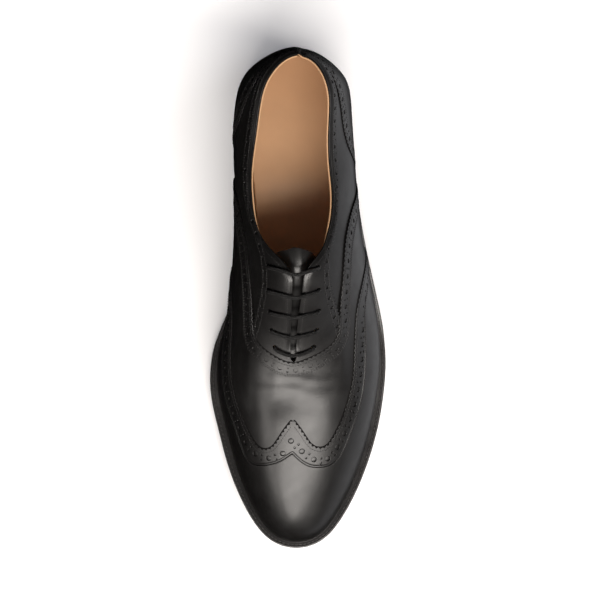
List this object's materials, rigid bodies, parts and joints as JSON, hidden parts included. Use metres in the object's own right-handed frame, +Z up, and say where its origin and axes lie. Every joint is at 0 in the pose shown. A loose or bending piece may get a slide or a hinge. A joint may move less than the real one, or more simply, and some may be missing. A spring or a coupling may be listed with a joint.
{
  "type": "brogue shoe",
  "caption": "Left full-brogue wing-tip oxford with closed lacing, straight lace bars, welted leather sole and stacked heel, standing empty.",
  "frame": {"origin": "on the floor, under the middle of the shoe's box", "axes": "+Z up; +Y from the toe to the heel; +X to the outer side of the foot"},
  "size_m": [0.1071, 0.301, 0.1017],
  "materials": {
    "calf": "polished black calf with a soft shine",
    "sole_leather": "black dyed and waxed sole edge",
    "heel_rubber": "matt black rubber",
    "lining_leather": "natural tan lining leather, matt",
    "lace": "waxed black cotton cord"
  },
  "bodies": {
    "root": {"outsole": "sole_leather", "welt": "sole_leather", "heel_stack": "sole_leather", "top_lift": "heel_rubber", "insole": "lining_leather", "upper": "calf", "vamp": "calf", "wing_cap": "calf", "heel_counter": "calf", "facing_medial": "calf", "facing_lateral": "calf", "tongue": "calf", "laces": "lace"}
  },
  "joints": []
}
